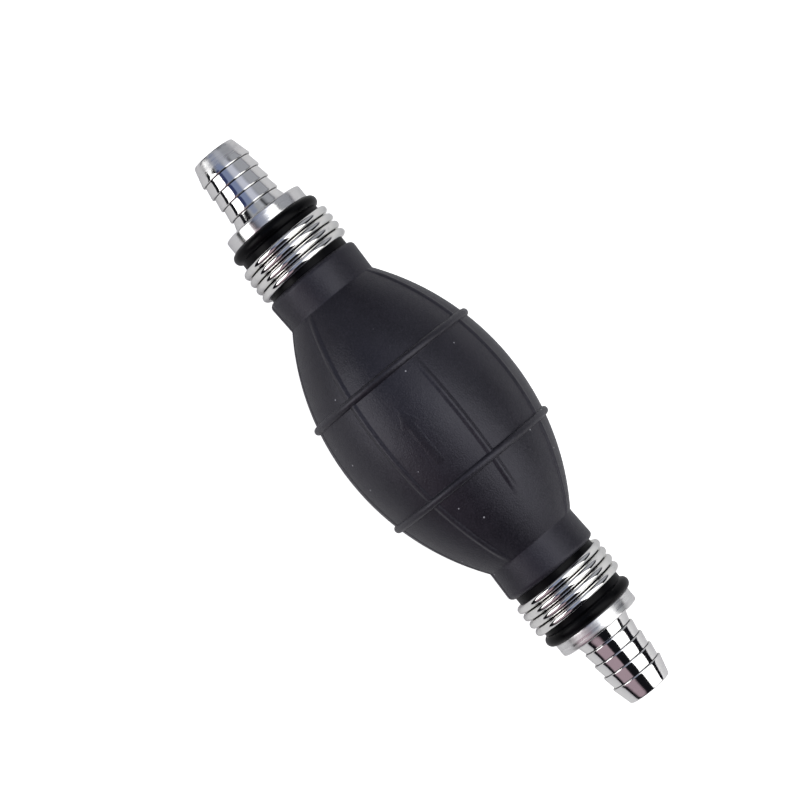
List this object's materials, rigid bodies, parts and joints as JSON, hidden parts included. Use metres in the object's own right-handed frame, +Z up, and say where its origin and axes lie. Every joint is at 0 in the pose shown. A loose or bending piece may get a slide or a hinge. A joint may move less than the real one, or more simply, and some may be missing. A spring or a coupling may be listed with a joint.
{
  "type": "siphon bulb pump",
  "caption": "Rubber squeeze bulb with a ridged hose barb, wire coil clamp and spring-loaded check valve at each end, for priming or siphoning liquid.",
  "frame": {"origin": "centre of the bulb, on its axis", "axes": "+X along the pump in the direction of flow, towards the outlet; +Z up, away from the surface it lies on"},
  "size_m": [0.1534, 0.045, 0.045],
  "materials": {
    "bulb_rubber": "matte black moulded rubber",
    "barb_aluminium": "bright turned aluminium",
    "clamp_wire": "bright nickel-plated spring wire",
    "spring_steel": "drawn stainless steel",
    "valve_plastic": "natural acetal",
    "poppet_plastic": "red acetal",
    "seal_rubber": "smooth nitrile rubber"
  },
  "bodies": {
    "pump": {"bulb": "bulb_rubber", "inlet_barb": "barb_aluminium", "outlet_barb": "barb_aluminium", "inlet_coil_clamp": "clamp_wire", "outlet_coil_clamp": "clamp_wire", "inlet_retaining_ring": "spring_steel", "outlet_retaining_ring": "spring_steel", "inlet_valve_seat": "valve_plastic", "outlet_valve_seat": "valve_plastic", "inlet_valve_cage": "valve_plastic", "outlet_valve_cage": "valve_plastic", "inlet_valve_spring": "spring_steel", "outlet_valve_spring": "spring_steel"},
    "thumb_wall": {"thumb_wall": "bulb_rubber"},
    "finger_wall": {"finger_wall": "bulb_rubber"},
    "inlet_poppet": {"inlet_poppet": "poppet_plastic", "inlet_poppet_seal": "seal_rubber"},
    "outlet_poppet": {"outlet_poppet": "poppet_plastic", "outlet_poppet_seal": "seal_rubber"}
  },
  "joints": [
    {"name": "thumb_squeeze", "type": "slide", "parent": "pump", "child": "thumb_wall", "axis": [0, 1, 0], "range_m": [0, 0.0075], "stiffness_N_per_m": 4000, "springref_m": -0.0002},
    {"name": "finger_squeeze", "type": "slide", "parent": "pump", "child": "finger_wall", "axis": [0, -1, 0], "range_m": [0, 0.0075], "stiffness_N_per_m": 4000, "springref_m": -0.0002},
    {"name": "inlet_valve_lift", "type": "slide", "parent": "pump", "child": "inlet_poppet", "axis": [1, 0, 0], "range_m": [0, 0.002], "stiffness_N_per_m": 60, "springref_m": -0.002, "deforming": ["inlet_valve_spring"]},
    {"name": "outlet_valve_lift", "type": "slide", "parent": "pump", "child": "outlet_poppet", "axis": [1, 0, 0], "range_m": [0, 0.002], "stiffness_N_per_m": 60, "springref_m": -0.002, "deforming": ["outlet_valve_spring"]}
  ],
  "couplings": [
    {"joint": "finger_squeeze", "follows": "thumb_squeeze", "ratio": 1}
  ]
}
